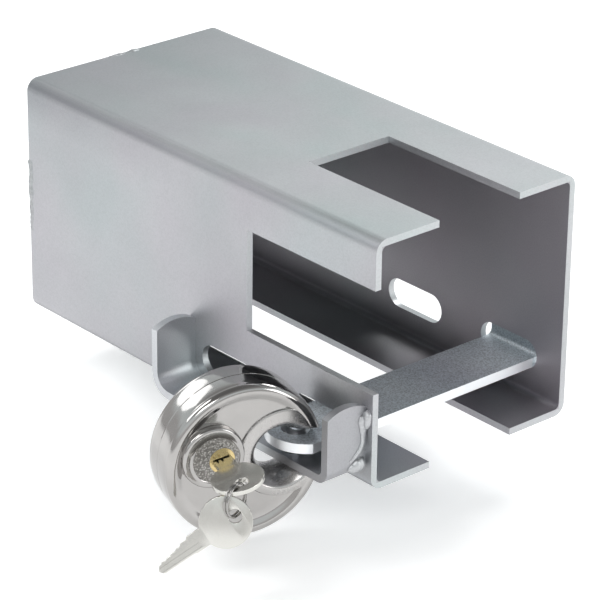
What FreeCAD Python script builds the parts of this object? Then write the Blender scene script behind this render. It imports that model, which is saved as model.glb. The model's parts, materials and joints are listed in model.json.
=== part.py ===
import FreeCAD, Part
import math
import os

# Trailer coupler lock: a folded steel box that goes over the coupler, a flat lock bar across it, a welded
# guard bracket round the bar's near end, and a disc padlock with two keys. Millimetres.
# Model axes: +X from the closed end to the open end, +Y from the padlock side to the far side, +Z up.
# While it is built, X = 0 is the closed end, Y = 0 the near side's outer face, Z = 0 the underside.
# Everything is then moved so that the origin is on the underside of the roof, at the end plate's inner face.

V = FreeCAD.Vector
X_AXIS, Y_AXIS, Z_AXIS = V(1, 0, 0), V(0, 1, 0), V(0, 0, 1)

# Box
LENGTH, WIDTH, HEIGHT = 228.0, 110.0, 110.0
SHEET = 3.0
BEND_R = 5.5
FLANGE_W = 32.0
SIDE_NOTCH_X, SIDE_NOTCH_Z0, SIDE_NOTCH_Z1 = 150.0, 43.3, 88.8
TOP_NOTCH_X, TOP_NOTCH_Y0, TOP_NOTCH_Y1 = 149.5, 33.5, 78.0
SLOT_W, SLOT_Z0 = 13.4, 14.4
REAR_SLOT_X0, FRONT_SLOT_X0, SLOT_LEN = 121.0, 179.7, 34.0
ORIGIN = V(SHEET, WIDTH / 2, HEIGHT - SHEET)

# Welds
BEAD_LEN, SHORT_BEAD_LEN, BEAD_R = 38.0, 14.0, 2.4
LUMP_R, LUMP_Y0, LUMP_Y1, LUMP_Z = 3.2, -5.6, -2.4, 12.4
RIB_R, RIB_Z0, RIB_Z1 = 1.4, 17.5, 34.0

# Lock bar
BAR_W, BAR_T = 29.0, 4.3
BAR_X0, BAR_Z0 = 182.2, 16.0
BAR_TIP_Y, BAR_TIP_R = -24.6, 17.0
BAR_LEG_GAP, BAR_LEG_H, BAR_BEND_R = 1.0, 24.0, 7.0

# Guard bracket
GUARD_X0, GUARD_X1 = 113.0, 224.5
GUARD_T, GUARD_REACH = 3.5, 20.8
GUARD_BEND_X0, GUARD_BEND_X1 = 10.5, 6.0
GUARD_Z0, GUARD_TOP, GUARD_ARCH_R = 7.75, 39.7, 21.0
BAR_HOLE_R, GUARD_HOLE_R, HOLE_FROM_LOCK = 6.0, 5.5, 26.0

# Disc padlock, in its own frame: X towards the box, -Y out of the front face, Z up
LOCK_POS, LOCK_YAW = V(188.0, -37.4, 15.2), 72.0
BODY_R, BODY_T, BODY_EDGE_R, SHELL_T = 34.0, 23.0, 7.0, 1.5
HOLE_X, HOLE_R, HOLE_FACE_R = 16.0, 9.5, 15.0
MOUTH_W, MOUTH_FACE_W = 16.0, 20.0
SHACKLE_R, SHACKLE_D = 26.5, 8.0
SHACKLE_A0, SHACKLE_A1, SHACKLE_TURN = -38.0, 112.0, 70.0
CHANNEL_PLAY = 0.3

# Cylinder
BOSS_X, BOSS_Z, BOSS_R, BOSS_WALL, BOSS_RISE = -14.5, 5.5, 13.3, 1.2, 1.7
PLUG_X, PLUG_Z, PLUG_R = -11.0, 3.8, 5.4
PLUG_FRONT, PLUG_BACK = 12.7, -4.2
HOUSING_FACE_T, HOUSING_R = 3.5, 6.9
KEYWAY_ANGLE, KEYWAY_W = 11.0, 2.9
PIN_COUNT, PIN_PITCH, PIN_FIRST, PIN_R = 5, 2.55, 7.8, 1.1
FIT, ROOM = 0.05, 0.1
SHEAR_R = PLUG_R + FIT
CHAMBER_END, CHAMBER_BLOCK_HALF = 12.8, 2.2
DRIVER_LEN, CAP_T = 3.2, 1.0
TAIL_HALF, TAIL_R = 1.3, 2.0

# Drive between the plug and the shackle
KEY_TURN = 90.0
PEG_R, PEG_REACH, PEG_ANGLE = 1.5, 10.4, 40.7
CAM_Y0, CAM_T, CAM_R, CAM_ARM_HALF = 4.4, 2.0, 3.6, 1.6
CLIP_R, CLIP_T = 3.2, 0.5
CARRIER_Y0, CARRIER_T = 7.4, 1.8
CARRIER_R0, CARRIER_R1, CARRIER_A0, CARRIER_A1 = 8.5, 28.6, 66.0, 122.0
DOWEL_R, DOWEL_Y0, DOWEL_ANGLES = 1.4, 1.9, (76.0, 106.0)

# Keys and ring
KEY_T, BOW_R, BOW_HOLE_R, BOW_HOLE_OFF = 2.0, 10.7, 2.8, 4.4
KEY_NECK, KEY_NECK_W = 6.0, 8.0
BLADE_LEN, BLADE_LOW, BLADE_HIGH = 16.4, -3.6, 3.0
CUTS = (2.2, 1.7, 1.2, 0.7, 0.2)
RING_R, RING_WIRE, RING_TURN_GAP = 6.8, 1.1, 0.05
RING_YAW, RING_DROP = 33.0, 50.0
SPARE_FACING = V(0.72, -0.63, 0.28)
SPARE_BLADE_DIR = V(-0.36, -0.78, -0.53)


def box(x0, x1, y0, y1, z0, z1):
    return Part.makeBox(x1 - x0, y1 - y0, z1 - z0, V(x0, y0, z0))


def cyl(r, h, base, axis):
    return Part.makeCylinder(r, h, base, axis)


def prism(points, travel):
    """A straight-sided solid from a closed outline and the vector it is extruded along."""
    return Part.Face(Part.makePolygon(points + [points[0]])).extrude(travel)


def joined(shapes):
    return shapes[0].fuse(shapes[1:]) if len(shapes) > 1 else shapes[0]


def obround(x0, length, width, z0, y0, y1):
    r = width / 2
    zc = z0 + r
    ends = [cyl(r, y1 - y0, V(x, y0, zc), Y_AXIS) for x in (x0 + r, x0 + length - r)]
    return joined([box(x0 + r, x0 + length - r, y0, y1, z0, z0 + width)] + ends)


# ---- box ----

def box_shell():
    outer = box(0, LENGTH, 0, WIDTH, 0, HEIGHT)
    outer = outer.makeFillet(BEND_R, long_edges(outer))
    inner = box(0, LENGTH, SHEET, WIDTH - SHEET, SHEET, HEIGHT - SHEET)
    inner = inner.makeFillet(BEND_R - SHEET, long_edges(inner))
    shell = outer.cut(inner)
    shell = shell.cut(box(0, LENGTH, FLANGE_W, WIDTH - FLANGE_W, -1, SHEET + 1))
    side_notch = box(SIDE_NOTCH_X, LENGTH + 1, -1, SHEET + 1, SIDE_NOTCH_Z0, SIDE_NOTCH_Z1)
    top_notch = box(TOP_NOTCH_X, LENGTH + 1, TOP_NOTCH_Y0, TOP_NOTCH_Y1, HEIGHT - SHEET - 1, HEIGHT + 1)
    shell = shell.cut(side_notch).cut(top_notch)
    for x0 in (REAR_SLOT_X0, FRONT_SLOT_X0):
        shell = shell.cut(obround(x0, SLOT_LEN, SLOT_W, SLOT_Z0, -1, WIDTH + 1))
    return shell


def long_edges(block):
    """The four edges of a block that run along X."""
    return [e for e in block.Edges if abs(e.tangentAt(e.FirstParameter).x) > 0.99]


def end_plate():
    gap = 0.05
    low, high = SHEET + gap, WIDTH - SHEET - gap
    plate = box(0, SHEET, low, high, SHEET + gap, HEIGHT - SHEET - gap)
    return plate.makeFillet(BEND_R - SHEET, long_edges(plate))


def bead(start, end, r):
    """A weld bead: a half-round ridge with rounded ends along a straight joint."""
    run = end - start
    body = cyl(r, run.Length, start, run)
    return joined([body, Part.makeSphere(r, start), Part.makeSphere(r, end)])


def end_plate_welds():
    """One short bead on each back edge of the box, clear of the shell and the plate that it joins."""
    half = BEAD_LEN / 2
    mid_y, mid_z = WIDTH / 2, HEIGHT / 2
    lip = SHEET * 0.55
    beads = []
    for y in (lip, WIDTH - lip):
        beads.append(bead(V(0, y, mid_z - half), V(0, y, mid_z + half), BEAD_R))
    beads.append(bead(V(0, mid_y - half, HEIGHT - lip), V(0, mid_y + half, HEIGHT - lip), BEAD_R))
    short = SHORT_BEAD_LEN / 2
    for y in (FLANGE_W * 0.6, WIDTH - FLANGE_W * 0.6):
        beads.append(bead(V(0, y - short, BEAD_R), V(0, y + short, BEAD_R), BEAD_R))
    behind = box(-10, 0, -10, WIDTH + 10, -10, HEIGHT + 10)
    return Part.makeCompound([b.common(behind) for b in beads])


# ---- guard bracket ----

def guard_bracket():
    x0, x1, t = GUARD_X0, GUARD_X1, GUARD_T
    outer = bent_block(box(x0, x1, -GUARD_REACH, 0, GUARD_Z0, GUARD_TOP), GUARD_BEND_X0, GUARD_BEND_X1)
    inner = box(x0 + t, x1 - t, -GUARD_REACH - 1, 1, GUARD_Z0 + t, GUARD_TOP + 1)
    strap = outer.cut(bent_block(inner, GUARD_BEND_X0 - t, GUARD_BEND_X1 - t))
    arch = cyl(GUARD_ARCH_R, x1 - x0 + 2, V(x0 - 1, -GUARD_REACH / 2, GUARD_TOP - GUARD_ARCH_R), X_AXIS)
    below = box(x0 - 1, x1 + 1, -GUARD_REACH - 1, 1, GUARD_Z0 - 1, GUARD_TOP - GUARD_ARCH_R)
    hole = cyl(GUARD_HOLE_R, GUARD_T + 2, under_shackle() + V(0, 0, GUARD_Z0 - 1), Z_AXIS)
    return strap.common(arch.fuse(below)).cut(hole)


def bent_block(block, low_x_r, high_x_r):
    """A block with its two bottom edges along Y rounded, each to its own radius."""
    bounds = block.BoundBox
    for x, r in ((bounds.XMin, low_x_r), (bounds.XMax, high_x_r)):
        edges = [e for e in block.Edges if abs(e.CenterOfMass.x - x) < 0.01
                 and abs(e.CenterOfMass.z - bounds.ZMin) < 0.01]
        block = block.makeFillet(r, edges)
    return block


def under_shackle():
    """The point on the ground plane under the shackle, where it goes through the bar and the bracket."""
    yaw = math.radians(LOCK_YAW)
    return V(LOCK_POS.x + HOLE_FROM_LOCK * math.cos(yaw), LOCK_POS.y + HOLE_FROM_LOCK * math.sin(yaw), 0)


def guard_welds():
    """On the outside of each guard arm: a thick lump low down and a thin bead up the corner with the box."""
    beads = []
    for x in (GUARD_X1, GUARD_X0):
        beads.append(bead(V(x, LUMP_Y0, LUMP_Z), V(x, LUMP_Y1, LUMP_Z), LUMP_R))
        beads.append(bead(V(x, 0, RIB_Z0), V(x, 0, RIB_Z1), RIB_R))
    left = box(GUARD_X0 - 9, GUARD_X0, -GUARD_REACH, 0, 0, HEIGHT)
    right = box(GUARD_X1, GUARD_X1 + 9, -GUARD_REACH, 0, 0, HEIGHT)
    outside = left.fuse(right)
    return Part.makeCompound([b.common(outside) for b in beads])


# ---- lock bar ----

def lock_bar():
    x0, x1, z0 = BAR_X0, BAR_X0 + BAR_W, BAR_Z0
    mid = (x0 + x1) / 2
    leg_y0 = WIDTH + BAR_LEG_GAP
    leg_y1 = leg_y0 + BAR_T
    blank = box(x0, x1, BAR_TIP_Y, leg_y1, z0, z0 + BAR_LEG_H)
    corner = [e for e in blank.Edges if abs(e.tangentAt(e.FirstParameter).x) > 0.99
              and abs(e.CenterOfMass.z - z0) < 0.01 and abs(e.CenterOfMass.y - leg_y1) < 0.01]
    blank = blank.makeFillet(BAR_BEND_R, corner)
    hollow = box(x0 - 1, x1 + 1, BAR_TIP_Y - 1, leg_y0, z0 + BAR_T, z0 + BAR_LEG_H + 1)
    corner = [e for e in hollow.Edges if abs(e.tangentAt(e.FirstParameter).x) > 0.99
              and abs(e.CenterOfMass.z - z0 - BAR_T) < 0.01 and abs(e.CenterOfMass.y - leg_y0) < 0.01]
    bar = blank.cut(hollow.makeFillet(BAR_BEND_R - BAR_T, corner))
    tip = cyl(BAR_TIP_R, BAR_T, V(mid, BAR_TIP_Y + BAR_TIP_R, z0), Z_AXIS)
    rest = box(x0, x1, BAR_TIP_Y + BAR_TIP_R / 2, leg_y1, z0, z0 + BAR_LEG_H)
    bar = bar.common(tip.fuse(rest))
    return bar.cut(cyl(BAR_HOLE_R, BAR_T + 2, under_shackle() + V(0, 0, z0 - 1), Z_AXIS))


# ---- padlock body, in the padlock's own frame ----

def disc(radius, thickness, edge_r):
    body = cyl(radius, thickness, V(0, thickness / 2, 0), V(0, -1, 0))
    return body.makeFillet(edge_r, [e for e in body.Edges if e.Curve.TypeId == "Part::GeomCircle"])


def flare_radius(low, high):
    """Radius of the arc that widens from low at the middle plane to high at the body's faces."""
    half, rise = BODY_T / 2, high - low
    return (half ** 2 + rise ** 2) / (2 * rise)


def notch(grow):
    """The notch's hole and mouth, widened by grow on every side for the shells' thickness."""
    half = BODY_T / 2 + 3
    arc_r = flare_radius(HOLE_R, HOLE_FACE_R)
    centre = HOLE_R + arc_r
    blank = cyl(centre, 2 * half, V(HOLE_X, half, 0), V(0, -1, 0))
    waist = Part.makeTorus(centre, arc_r - grow, V(HOLE_X, 0, 0), Y_AXIS)
    hole = blank.cut(waist)
    core = cyl(HOLE_R + arc_r * 0.62, 2 * half, V(HOLE_X, half, 0), V(0, -1, 0))
    hole = hole.common(core)
    arc_m = flare_radius(MOUTH_W / 2, MOUTH_FACE_W / 2)
    side = MOUTH_W / 2 + arc_m
    mouth = box(HOLE_X, BODY_R + 5, -half, half, -side * 0.4, side * 0.4)
    for z in (-side, side):
        mouth = mouth.cut(cyl(arc_m - grow, BODY_R + 9, V(HOLE_X - 2, 0, z), X_AXIS))
    return hole.fuse(mouth)


def ring_segment(radius, wire_r, a0, a1):
    """Part of a torus about the padlock's centre, from angle a0 to a1 in its own XZ plane."""
    section = Part.Face(Part.Wire(Part.makeCircle(wire_r, V(radius, 0, 0), Z_AXIS)))
    section.rotate(V(0, 0, 0), Y_AXIS, -a0)
    return section.revolve(V(0, 0, 0), V(0, -1, 0), a1 - a0)


def channel():
    end = SHACKLE_A1 + SHACKLE_TURN + 3
    return ring_segment(SHACKLE_R, SHACKLE_D / 2 + CHANNEL_PLAY, SHACKLE_A0 - 2, end)


def front_half():
    return box(-50, 50, -50, 0, -50, 50)


def back_half():
    return box(-50, 50, 0, 50, -50, 50)


def body_skin():
    outer = disc(BODY_R, BODY_T, BODY_EDGE_R).cut(notch(0))
    inner = disc(BODY_R - SHELL_T, BODY_T - 2 * SHELL_T, BODY_EDGE_R - SHELL_T).cut(notch(SHELL_T))
    return outer.cut(inner).cut(channel())


def padlock_front_shell(skin):
    base = SHELL_T - BODY_T / 2
    height = SHELL_T + BOSS_RISE
    boss = cyl(BOSS_R, height, V(BOSS_X, base, BOSS_Z), V(0, -1, 0))
    bore = cyl(BOSS_R - BOSS_WALL, height + 2, V(BOSS_X, base + 1, BOSS_Z), V(0, -1, 0))
    return skin.common(front_half()).fuse(boss).cut(bore)


def padlock_back_shell(skin):
    return skin.common(back_half())


def core():
    inset = SHELL_T + ROOM
    whole = disc(BODY_R - inset, BODY_T - 2 * inset, BODY_EDGE_R - inset)
    return whole.cut(notch(inset)).cut(channel())


def front_core(whole):
    cavity = housing_body(ROOM).fuse(housing_face(ROOM))
    return whole.common(front_half()).cut(cavity)


def sector(r0, r1, a0, a1, y0, y1):
    """A ring sector about the padlock's centre, between two depths."""
    face = Part.Face(Part.makePolygon([V(r0, y0, 0), V(r1, y0, 0), V(r1, y1, 0), V(r0, y1, 0), V(r0, y0, 0)]))
    face.rotate(V(0, 0, 0), Y_AXIS, -a0)
    return face.revolve(V(0, 0, 0), V(0, -1, 0), a1 - a0)


def back_core(whole):
    cavity = housing_body(ROOM)
    cam_room = cyl(PEG_REACH + PEG_R + 0.8, CAM_T + 0.8, V(PLUG_X, CAM_Y0 - 0.4, PLUG_Z), Y_AXIS)
    plug_room = cyl(PLUG_R + 0.5, 6, V(PLUG_X, 0, PLUG_Z), Y_AXIS)
    carrier_room = sector(CARRIER_R0 - 0.5, CARRIER_R1 + 0.5, CARRIER_A0 - 2, CARRIER_A1 + SHACKLE_TURN + 2,
                          CAM_Y0 - 0.3, CARRIER_Y0 + CARRIER_T + 0.4)
    return whole.common(back_half()).cut(cavity).cut(cam_room).cut(plug_room).cut(carrier_room)


# ---- cylinder ----

def towards(angle, distance, y=0.0):
    """A point at this distance from the plug's axis, in the direction of an angle in the XZ plane."""
    a = math.radians(angle)
    return V(PLUG_X + distance * math.cos(a), y, PLUG_Z + distance * math.sin(a))


def turned(shape, angle):
    """Turned about the plug's axis; a positive angle is anticlockwise seen from the front."""
    shape.rotate(V(PLUG_X, 0, PLUG_Z), V(0, -1, 0), angle)
    return shape


def housing_face(grow):
    front = -PLUG_FRONT
    return cyl(BOSS_R - BOSS_WALL - ROOM + grow, HOUSING_FACE_T + grow, V(BOSS_X, front, BOSS_Z), Y_AXIS)


def housing_body(grow):
    """The barrel round the plug, with the block that holds the pin chambers."""
    front = -PLUG_FRONT + HOUSING_FACE_T - 0.1
    back = -PLUG_BACK - 0.2
    half = CHAMBER_BLOCK_HALF + grow
    barrel = cyl(HOUSING_R + grow, back - front, V(PLUG_X, front, PLUG_Z), Y_AXIS)
    block = box(PLUG_X, PLUG_X + CHAMBER_END + grow, front, back, PLUG_Z - half, PLUG_Z + half)
    return barrel.fuse(turned(block, KEYWAY_ANGLE))


def pin_positions():
    return [-PIN_FIRST + i * PIN_PITCH for i in range(PIN_COUNT)]


def radial_pins(start_distances, end_distances, radius):
    """One round pin per chamber, between two distances from the plug's axis."""
    a = math.radians(KEYWAY_ANGLE)
    out = V(math.cos(a), 0, math.sin(a))
    pins = []
    for y, low, high in zip(pin_positions(), start_distances, end_distances):
        pins.append(cyl(radius, high - low, towards(KEYWAY_ANGLE, low, y), out))
    return pins


def chambers(low, high):
    return joined(radial_pins([low] * PIN_COUNT, [high] * PIN_COUNT, PIN_R + FIT))


def cylinder_housing():
    bore = cyl(SHEAR_R, 30, V(PLUG_X, -PLUG_FRONT - 1, PLUG_Z), Y_AXIS)
    body = housing_face(0).fuse(housing_body(0)).cut(bore)
    return body.cut(chambers(PLUG_R, CHAMBER_END + 1))


def plug():
    body = cyl(PLUG_R, PLUG_FRONT - PLUG_BACK, V(PLUG_X, -PLUG_FRONT, PLUG_Z), Y_AXIS)
    low, high = BLADE_LOW - 0.25, BLADE_HIGH + 0.25
    keyway = box(PLUG_X + low, PLUG_X + high, -PLUG_FRONT - 1, -PLUG_FRONT + BLADE_LEN + 0.2,
                 PLUG_Z - KEYWAY_W / 2, PLUG_Z + KEYWAY_W / 2)
    tail = cyl(TAIL_R, CAM_T + 0.9, V(PLUG_X, -PLUG_BACK - 0.1, PLUG_Z), Y_AXIS)
    square = tail_bar(TAIL_HALF, -PLUG_BACK)
    return body.cut(turned(keyway, KEYWAY_ANGLE)).fuse(tail.common(square)).cut(chambers(0, SHEAR_R + 1))


def tail_bar(half, y0):
    """The square section on the plug's tail, from this depth to well behind the padlock."""
    return box(PLUG_X - half, PLUG_X + half, y0, BODY_T, PLUG_Z - half, PLUG_Z + half)


def key_pins():
    """Each pin stands on its cut. The cuts step down to the tip, so the key draws out under still pins."""
    tips = [cut + FIT for cut in CUTS]
    return Part.makeCompound(radial_pins(tips, [PLUG_R - ROOM] * PIN_COUNT, PIN_R))


def driver_pins():
    lows = [SHEAR_R + FIT] * PIN_COUNT
    highs = [SHEAR_R + DRIVER_LEN] * PIN_COUNT
    return Part.makeCompound(radial_pins(lows, highs, PIN_R))


def pin_springs():
    """Five small coil springs, each as a closed stack of coil rings that stands between pin and cap."""
    low, high, coils = SHEAR_R + DRIVER_LEN + ROOM, CHAMBER_END - CAP_T - ROOM, 5
    a = math.radians(KEYWAY_ANGLE)
    out = V(math.cos(a), 0, math.sin(a))
    pitch = (high - low) / coils
    springs = []
    for y in pin_positions():
        sleeve = cyl(PIN_R - 0.1, high - low, towards(KEYWAY_ANGLE, low, y), out)
        sleeve = sleeve.cut(cyl(PIN_R - 0.45, high - low + 2, towards(KEYWAY_ANGLE, low - 1, y), out))
        for i in range(coils):
            groove = cyl(PIN_R + 1, pitch * 0.4, towards(KEYWAY_ANGLE, low + (i + 0.3) * pitch, y), out)
            groove = groove.cut(cyl(PIN_R - 0.28, pitch, towards(KEYWAY_ANGLE, low + i * pitch, y), out))
            sleeve = sleeve.cut(groove)
        springs.append(sleeve)
    return Part.makeCompound(springs)


def chamber_caps():
    lows = [CHAMBER_END - CAP_T] * PIN_COUNT
    highs = [CHAMBER_END - FIT] * PIN_COUNT
    return Part.makeCompound(radial_pins(lows, highs, PIN_R))


# ---- shackle and its drive ----

def dowel(angle, grow=0.0):
    a = math.radians(angle)
    at = V(SHACKLE_R * math.cos(a), DOWEL_Y0 - grow, SHACKLE_R * math.sin(a))
    return cyl(DOWEL_R + grow, CARRIER_Y0 - DOWEL_Y0 + 0.2 + grow, at, Y_AXIS)


def shackle():
    bow = ring_segment(SHACKLE_R, SHACKLE_D / 2, SHACKLE_A0, SHACKLE_A1)
    for a in DOWEL_ANGLES:
        bow = bow.cut(dowel(a, FIT))
    return bow


def peg_track():
    """The peg's path seen from the turning carrier, as short straight capsules that form one curved slot."""
    steps = 10
    points = []
    for i in range(steps + 1):
        share = i / steps
        peg = towards(PEG_ANGLE + share * KEY_TURN, PEG_REACH)
        peg = FreeCAD.Rotation(V(0, -1, 0), -share * SHACKLE_TURN).multVec(peg)
        points.append(peg)
    r, y0, depth = PEG_R + 0.35, CARRIER_Y0 - 1, CARRIER_T + 2
    parts = [cyl(r, depth, p + V(0, y0, 0), Y_AXIS) for p in points]
    for p, q in zip(points, points[1:]):
        run = q - p
        side = V(-run.z, 0, run.x)
        side.normalize()
        low = V(0, y0, 0)
        outline = [p + side * r + low, q + side * r + low, q - side * r + low, p - side * r + low]
        parts.append(prism(outline, V(0, depth, 0)))
    return joined(parts)


def shackle_carrier():
    plate = sector(CARRIER_R0, CARRIER_R1, CARRIER_A0, CARRIER_A1, CARRIER_Y0, CARRIER_Y0 + CARRIER_T)
    return plate.cut(peg_track()).fuse([dowel(a) for a in DOWEL_ANGLES])


def drive_cam():
    hub = cyl(CAM_R, CAM_T, V(PLUG_X, CAM_Y0, PLUG_Z), Y_AXIS)
    arm = box(PLUG_X, PLUG_X + PEG_REACH, CAM_Y0, CAM_Y0 + CAM_T,
              PLUG_Z - CAM_ARM_HALF, PLUG_Z + CAM_ARM_HALF)
    end = cyl(CAM_ARM_HALF, CAM_T, towards(PEG_ANGLE, PEG_REACH, CAM_Y0), Y_AXIS)
    peg = cyl(PEG_R, CAM_T + 2.2, towards(PEG_ANGLE, PEG_REACH, CAM_Y0), Y_AXIS)
    cam = joined([hub, turned(arm, PEG_ANGLE), end, peg])
    return cam.cut(tail_bar(TAIL_HALF + FIT, 0))


def cam_clip():
    ring = cyl(CLIP_R, CLIP_T, V(PLUG_X, CAM_Y0 + CAM_T + ROOM, PLUG_Z), Y_AXIS)
    return ring.cut(tail_bar(TAIL_HALF + FIT, 0))


# ---- keys and ring ----

def key_blank():
    """A key lying in the XY plane: its shoulder at the origin, blade along +Y, bow towards -Y, cuts on +X."""
    t0 = -KEY_T / 2
    bow_y = -KEY_NECK - BOW_R
    bow = cyl(BOW_R, KEY_T, V(0, bow_y, t0), Z_AXIS)
    bow = bow.cut(cyl(BOW_HOLE_R, KEY_T + 2, V(0, bow_y - BOW_HOLE_OFF, t0 - 1), Z_AXIS))
    neck = box(-KEY_NECK_W / 2, KEY_NECK_W / 2, bow_y + BOW_R * 0.8, 0, t0, -t0)
    outline = [V(BLADE_LOW, -1, t0), V(BLADE_HIGH, -1, t0)]
    first_cut = PLUG_FRONT - PIN_FIRST - PIN_PITCH / 2
    height = BLADE_HIGH
    for i, cut in enumerate(CUTS):
        step = first_cut + i * PIN_PITCH
        outline += [V(height, step - 0.1, t0), V(cut, step + 0.1, t0)]
        height = cut
    outline.append(V(height, BLADE_LEN - 1.2, t0))
    outline.append(V(BLADE_LOW + 1.6, BLADE_LEN, t0))
    outline.append(V(BLADE_LOW, BLADE_LEN - 1.6, t0))
    blade = prism(outline, V(0, 0, KEY_T))
    return joined([bow, neck, blade])


def key_in_lock():
    key = key_blank()
    key.translate(V(PLUG_X, -PLUG_FRONT - 0.1, PLUG_Z))
    return turned(key, KEYWAY_ANGLE)


def bow_hole():
    """The centre of the bow's hole of the key in the lock, in the padlock's frame."""
    return V(PLUG_X, -PLUG_FRONT - 0.1 - KEY_NECK - BOW_R - BOW_HOLE_OFF, PLUG_Z)


def ring_directions():
    """The ring's own plane: a level direction away from the bow hole, and the way to its centre."""
    yaw, drop = math.radians(RING_YAW), math.radians(RING_DROP)
    level = V(-math.cos(yaw), -math.sin(yaw), 0)
    return level, level * math.cos(drop) - Z_AXIS * math.sin(drop)


def ring_centre():
    return bow_hole() + ring_directions()[1] * RING_R


def key_ring():
    """A split ring: two flat turns side by side, joined where one turn steps over to the other."""
    level = ring_directions()[0]
    axis = level.cross(Z_AXIS)
    width = 2 * RING_WIRE + RING_TURN_GAP
    ring = cyl(RING_R + RING_WIRE / 2, width, ring_centre() - axis * (width / 2), axis)
    ring = ring.cut(cyl(RING_R - RING_WIRE / 2, width + 2, ring_centre() - axis * (width / 2 + 1), axis))
    split = cyl(RING_R + 2, RING_TURN_GAP + 0.1, ring_centre() - axis * (RING_TURN_GAP / 2 + 0.05), axis)
    keep = cyl(3, 8, ring_centre() + level * RING_R - axis * 4, axis)
    return ring.cut(split.cut(keep))


def spare_key():
    """The second key, in the model's axes: it hangs on the lowest point of the ring."""
    hang = to_model_point(ring_centre() - Z_AXIS * RING_R)
    facing = V(SPARE_FACING).normalize()
    blade = V(SPARE_BLADE_DIR)
    blade = (blade - facing * blade.dot(facing)).normalize()
    across = blade.cross(facing)
    key = key_blank()
    hole_y = -KEY_NECK - BOW_R - BOW_HOLE_OFF
    key.translate(V(0, -hole_y, 0))
    matrix = FreeCAD.Matrix(across.x, blade.x, facing.x, 0, across.y, blade.y, facing.y, 0,
                            across.z, blade.z, facing.z, 0, 0, 0, 0, 1)
    key.Placement = FreeCAD.Placement(matrix).multiply(key.Placement)
    key.translate(hang + blade * 0.3)
    return key


def to_model_point(point):
    return FreeCAD.Rotation(Z_AXIS, LOCK_YAW).multVec(point) + LOCK_POS


def to_model(shape):
    """From the padlock's own frame to the box's."""
    shape.rotate(V(0, 0, 0), Z_AXIS, LOCK_YAW)
    shape.translate(LOCK_POS)
    return shape


def export(name, shape):
    shape = shape.removeSplitter() if shape.ShapeType != "Compound" else shape
    shape.translate(ORIGIN * -1)
    shape.exportStep(os.path.join("parts", name + ".step"))
    print(name, shape.ShapeType, len(shape.Solids), "solids", round(shape.Volume, 1), "mm3", shape.isValid())


def main():
    os.makedirs("parts", exist_ok=True)
    for make in (box_shell, end_plate, end_plate_welds, guard_bracket, guard_welds, lock_bar):
        export(make.__name__, make())
    skin = body_skin()
    whole_core = core()
    export("padlock_front_shell", to_model(padlock_front_shell(skin)))
    export("padlock_back_shell", to_model(padlock_back_shell(skin)))
    export("front_core", to_model(front_core(whole_core)))
    export("back_core", to_model(back_core(whole_core)))
    for make in (cylinder_housing, plug, key_pins, driver_pins, pin_springs, chamber_caps,
                 shackle, shackle_carrier, drive_cam, cam_clip, key_in_lock, key_ring):
        export(make.__name__, to_model(make()))
    export("spare_key", spare_key())


main()
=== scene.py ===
import bpy, bmesh, json, math, random
from mathutils import Matrix, Vector, noise


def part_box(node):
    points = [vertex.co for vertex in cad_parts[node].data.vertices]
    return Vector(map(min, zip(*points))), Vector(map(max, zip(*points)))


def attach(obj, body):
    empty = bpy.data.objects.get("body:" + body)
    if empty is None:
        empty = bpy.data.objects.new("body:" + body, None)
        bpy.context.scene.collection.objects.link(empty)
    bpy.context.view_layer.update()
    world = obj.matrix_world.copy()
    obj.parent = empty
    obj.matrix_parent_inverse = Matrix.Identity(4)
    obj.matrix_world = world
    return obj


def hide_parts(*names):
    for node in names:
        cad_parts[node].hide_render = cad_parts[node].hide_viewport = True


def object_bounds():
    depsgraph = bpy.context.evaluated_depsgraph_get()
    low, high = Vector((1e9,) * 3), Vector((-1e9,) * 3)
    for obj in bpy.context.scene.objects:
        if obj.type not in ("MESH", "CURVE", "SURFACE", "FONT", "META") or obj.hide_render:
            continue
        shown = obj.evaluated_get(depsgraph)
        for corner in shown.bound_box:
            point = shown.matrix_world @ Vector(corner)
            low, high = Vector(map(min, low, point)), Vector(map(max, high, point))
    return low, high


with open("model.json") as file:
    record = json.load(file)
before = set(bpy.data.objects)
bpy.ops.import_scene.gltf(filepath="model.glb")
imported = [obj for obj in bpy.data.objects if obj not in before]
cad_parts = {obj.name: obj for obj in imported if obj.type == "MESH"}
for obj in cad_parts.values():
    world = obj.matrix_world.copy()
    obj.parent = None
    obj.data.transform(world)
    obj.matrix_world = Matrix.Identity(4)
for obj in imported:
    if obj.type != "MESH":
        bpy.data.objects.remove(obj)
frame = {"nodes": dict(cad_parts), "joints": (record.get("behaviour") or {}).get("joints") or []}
cad_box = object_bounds()
nodes = frame["nodes"]
joints = {j["name"]: j for j in frame["joints"]}
MM = 0.001
# Metres here, as in the frame; the padlock, welds and keys are worked out in millimetres.
SHEET, BAR_FOLD = 0.003, 0.008


# ---- camera, floor and lights ----

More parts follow.
